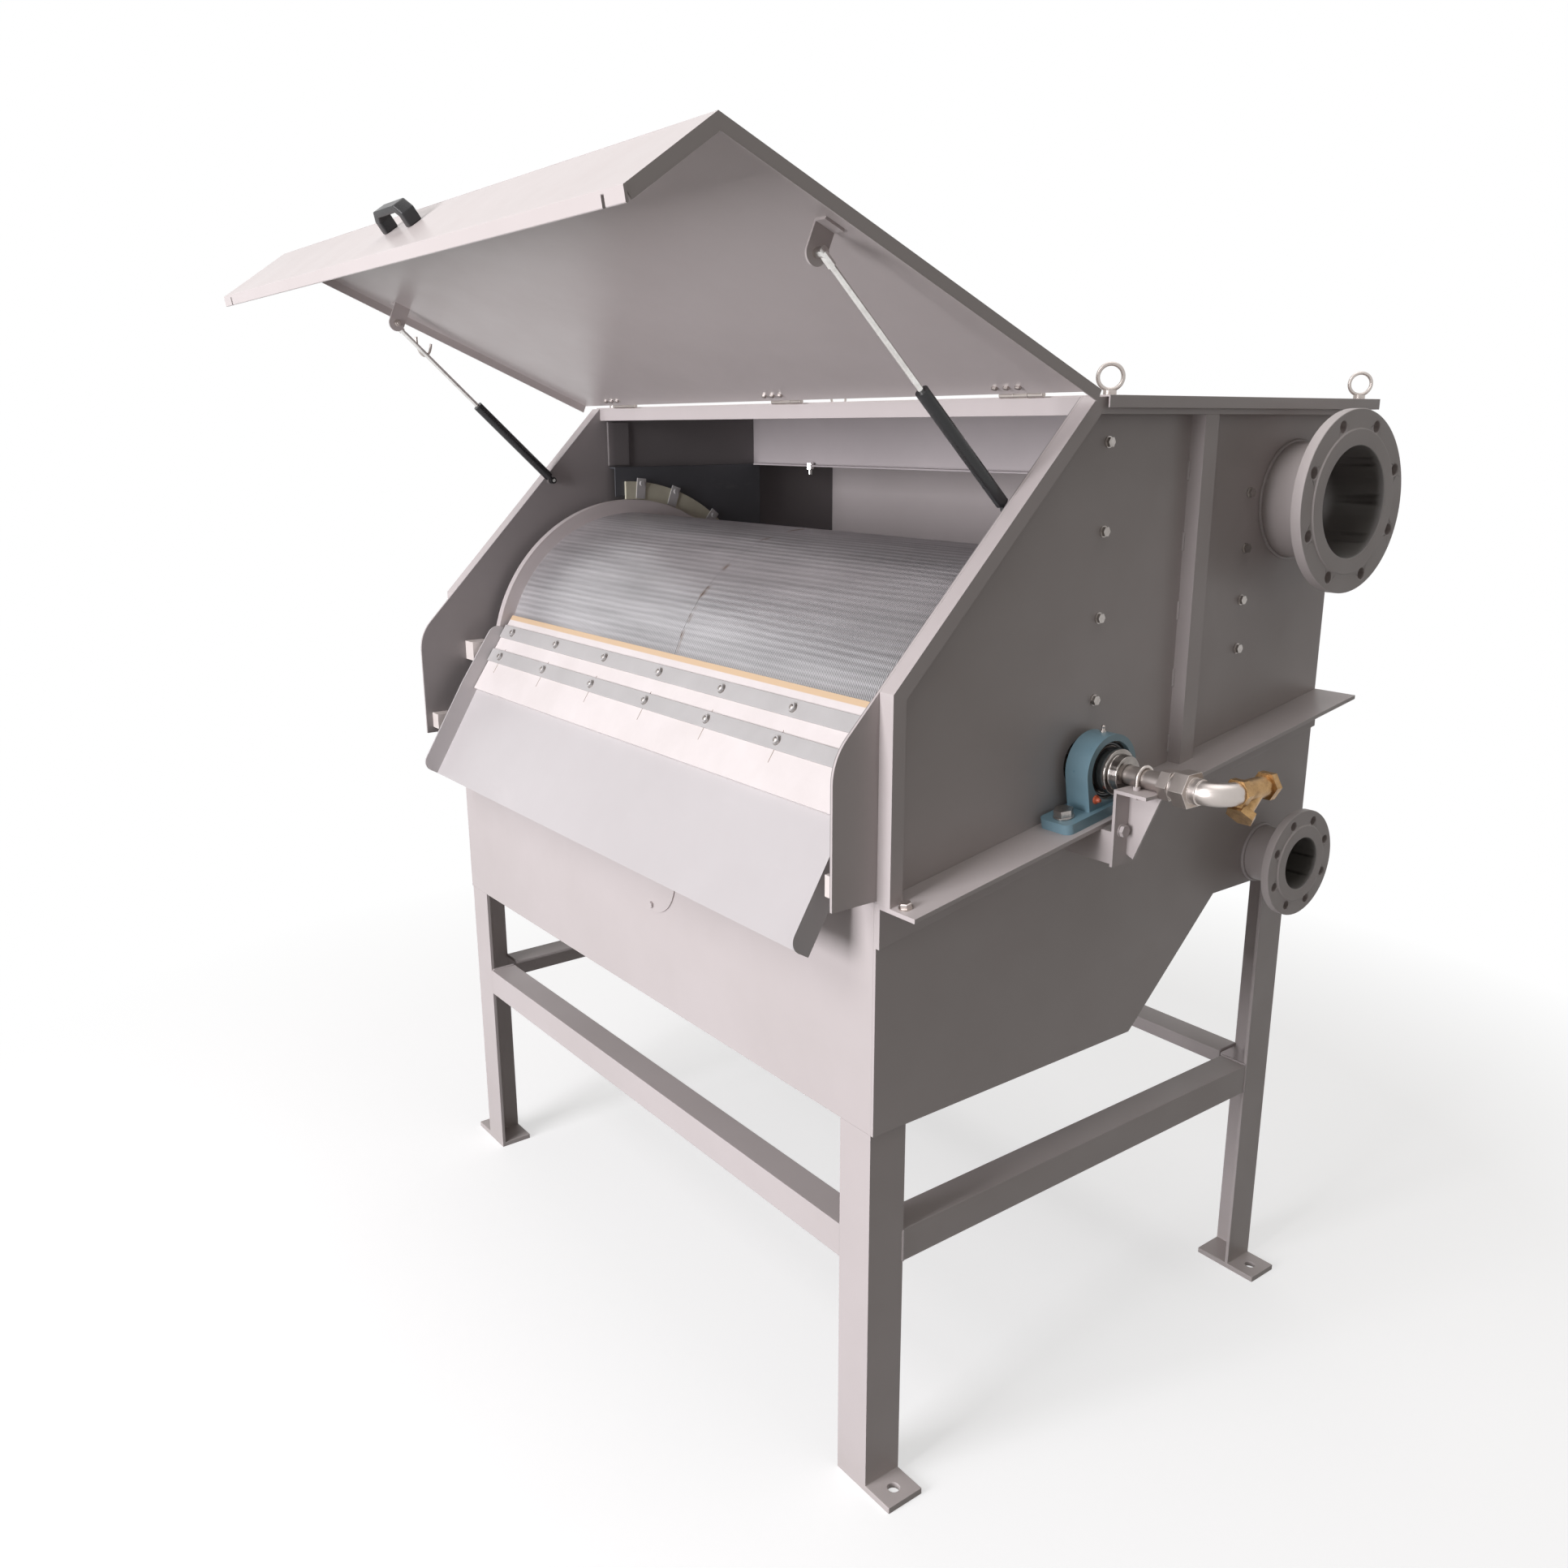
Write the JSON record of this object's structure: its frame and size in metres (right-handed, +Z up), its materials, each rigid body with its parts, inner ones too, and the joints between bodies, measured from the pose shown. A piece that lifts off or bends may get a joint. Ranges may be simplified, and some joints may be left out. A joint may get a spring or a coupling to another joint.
{
  "type": "rotary drum filter",
  "caption": "Open rotary drum filter on a four-legged stand: water enters a head box, runs onto a turning screen drum, and a blade and chute clear the solids under a lifting hood.",
  "frame": {"origin": "on the floor, in the middle of the four foot bolt holes", "axes": "+Z up; +X toward the side with the inlet and outlet flanges, along the drum axis; +Y from the discharge chute to the head box at the rear"},
  "size_m": [2.1414, 1.7147, 2.2523],
  "materials": {
    "stand": "satin, lightly scuffed",
    "tank": "satin",
    "nozzle": "turned",
    "casing": "satin",
    "cover": "satin",
    "lifting_eye": "forged, bright",
    "fastener": "bright",
    "headbox": "satin",
    "seal_plate": "satin",
    "seal_rubber": "matte cream",
    "clamp": "satin",
    "hood": "satin, bright underside",
    "handle": "matte black",
    "hinge": "satin",
    "strut_tube": "black lacquer",
    "strut_rod": "polished",
    "screen": "fine wire texture",
    "drum_end": "turned",
    "journal": "turned",
    "bearing_housing": "blue gloss paint",
    "bearing_insert": "ground",
    "chute": "satin, scuffed",
    "blade": "cream plastic",
    "pivot_block": "white plastic",
    "spray_pipe": "drawn",
    "spray_fitting": "cast and machined",
    "strainer": "cast",
    "bracket": "satin",
    "gearmotor": "blue-grey paint"
  },
  "bodies": {
    "machine": {"bearing_bolts": "fastener", "bearing_housing_left": "bearing_housing", "bearing_housing_right": "bearing_housing", "bearing_inserts": "bearing_insert", "casing_frame_left": "casing", "casing_frame_right": "casing", "casing_lifting_eyes": "lifting_eye", "casing_rear_wall": "casing", "casing_side_bolts": "fastener", "casing_side_left": "casing", "casing_side_right": "casing", "casing_top_bar": "casing", "casing_top_cover": "cover", "chute_pivot_blocks": "pivot_block", "drive_gearmotor": "gearmotor", "headbox_baffle": "headbox", "headbox_weir": "headbox", "hinge_casing_leaves": "hinge", "inlet_nozzle": "nozzle", "outlet_nozzle": "nozzle", "seal_arcs": "seal_rubber", "seal_clamps": "clamp", "seal_plate_left": "seal_plate", "seal_plate_right": "seal_plate", "spray_bracket": "bracket", "spray_pipe": "spray_pipe", "spray_strainer": "strainer", "spray_union": "spray_fitting", "stand_leg_front_left": "stand", "stand_leg_front_right": "stand", "stand_leg_rear_left": "stand", "stand_leg_rear_right": "stand", "stand_rail_front": "stand", "stand_rail_left": "stand", "stand_rail_rear": "stand", "stand_rail_right": "stand", "strut_studs": "strut_rod", "tank_flange_left": "tank", "tank_flange_right": "tank", "tank_floor": "tank", "tank_front_wall": "tank", "tank_hand_hole_cover": "tank", "tank_side_left": "tank", "tank_side_right": "tank"},
    "drum": {"drum_screen": "screen", "drum_end_right": "drum_end", "drum_end_left": "drum_end", "drum_support_bars": "screen", "drum_journal_right": "journal", "drum_journal_left": "journal"},
    "hood": {"hood_panel": "hood", "hood_handle": "handle", "hinge_hood_leaves": "hinge"},
    "chute": {"chute": "chute", "scraper_blade": "blade", "scraper_clamps": "clamp"},
    "strut_cylinder_right": {"strut_cylinder_right": "strut_tube"},
    "strut_cylinder_left": {"strut_cylinder_left": "strut_tube"},
    "strut_rod_right": {"strut_rod_right": "strut_rod"},
    "strut_rod_left": {"strut_rod_left": "strut_rod"}
  },
  "joints": [
    {"name": "drum_spin", "type": "hinge", "parent": "machine", "child": "drum", "pos_m": [0, -0.109, 1.302], "axis": [1, 0, 0], "continuous": true},
    {"name": "hood_hinge", "type": "hinge", "parent": "machine", "child": "hood", "pos_m": [0, -0.158, 1.9315], "axis": [1, 0, 0], "range_deg": [0, 68.8]},
    {"name": "chute_tilt", "type": "hinge", "parent": "machine", "child": "chute", "pos_m": [0, -0.542, 1.346], "axis": [1, 0, 0], "range_deg": [0, 8]},
    {"name": "strut_pivot_right", "type": "hinge", "parent": "machine", "child": "strut_cylinder_right", "pos_m": [0.782, -0.308, 1.752], "axis": [1, 0, 0], "range_deg": [0, 93.52]},
    {"name": "strut_slide_right", "type": "slide", "parent": "strut_cylinder_right", "child": "strut_rod_right", "axis": [0, -0.7278, 0.6858], "range_m": [-0.1975, 0]},
    {"name": "strut_pivot_left", "type": "hinge", "parent": "machine", "child": "strut_cylinder_left", "pos_m": [-0.782, -0.308, 1.752], "axis": [1, 0, 0], "range_deg": [0, 93.52]},
    {"name": "strut_slide_left", "type": "slide", "parent": "strut_cylinder_left", "child": "strut_rod_left", "axis": [0, -0.7278, 0.6858], "range_m": [-0.1975, 0]}
  ],
  "couplings": [
    {"joint": "strut_pivot_right", "follows": "hood_hinge", "ratio": 1.3564},
    {"joint": "strut_slide_right", "follows": "hood_hinge", "m_per_rad": -0.16409},
    {"joint": "strut_pivot_left", "follows": "hood_hinge", "ratio": 1.3564},
    {"joint": "strut_slide_left", "follows": "hood_hinge", "m_per_rad": -0.16409}
  ]
}
